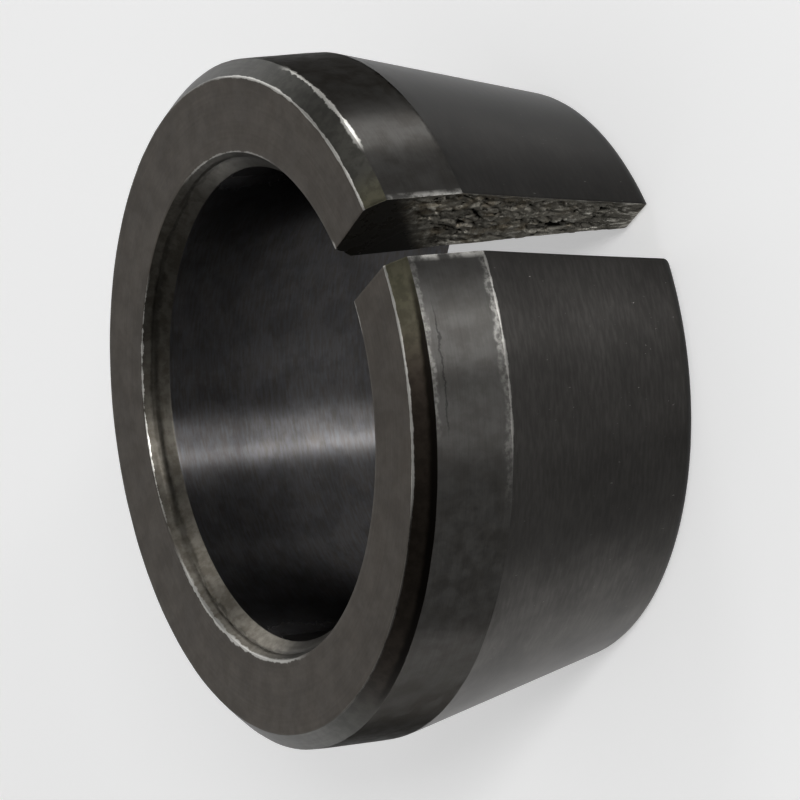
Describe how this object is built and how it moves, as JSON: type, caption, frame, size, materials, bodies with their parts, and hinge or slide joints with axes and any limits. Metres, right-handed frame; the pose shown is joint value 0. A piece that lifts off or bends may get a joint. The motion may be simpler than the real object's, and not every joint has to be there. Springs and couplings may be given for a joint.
{
  "type": "router collet",
  "caption": "Split tapered ring with a round bore and a straight band that squeezes onto a cutter shank when it is pressed into its seat.",
  "frame": {"origin": "where the bore axis meets the plane that the small end stands on", "axes": "+Z along the bore axis from the small end to the wide flat face, +X out through the middle of the slit"},
  "size_m": [0.0184, 0.0184, 0.0091],
  "materials": {
    "blackened_steel": "black oxide over turned steel, satin, bare and bright along worn edges"
  },
  "bodies": {
    "root": {"collet_ring": "blackened_steel"}
  },
  "joints": []
}
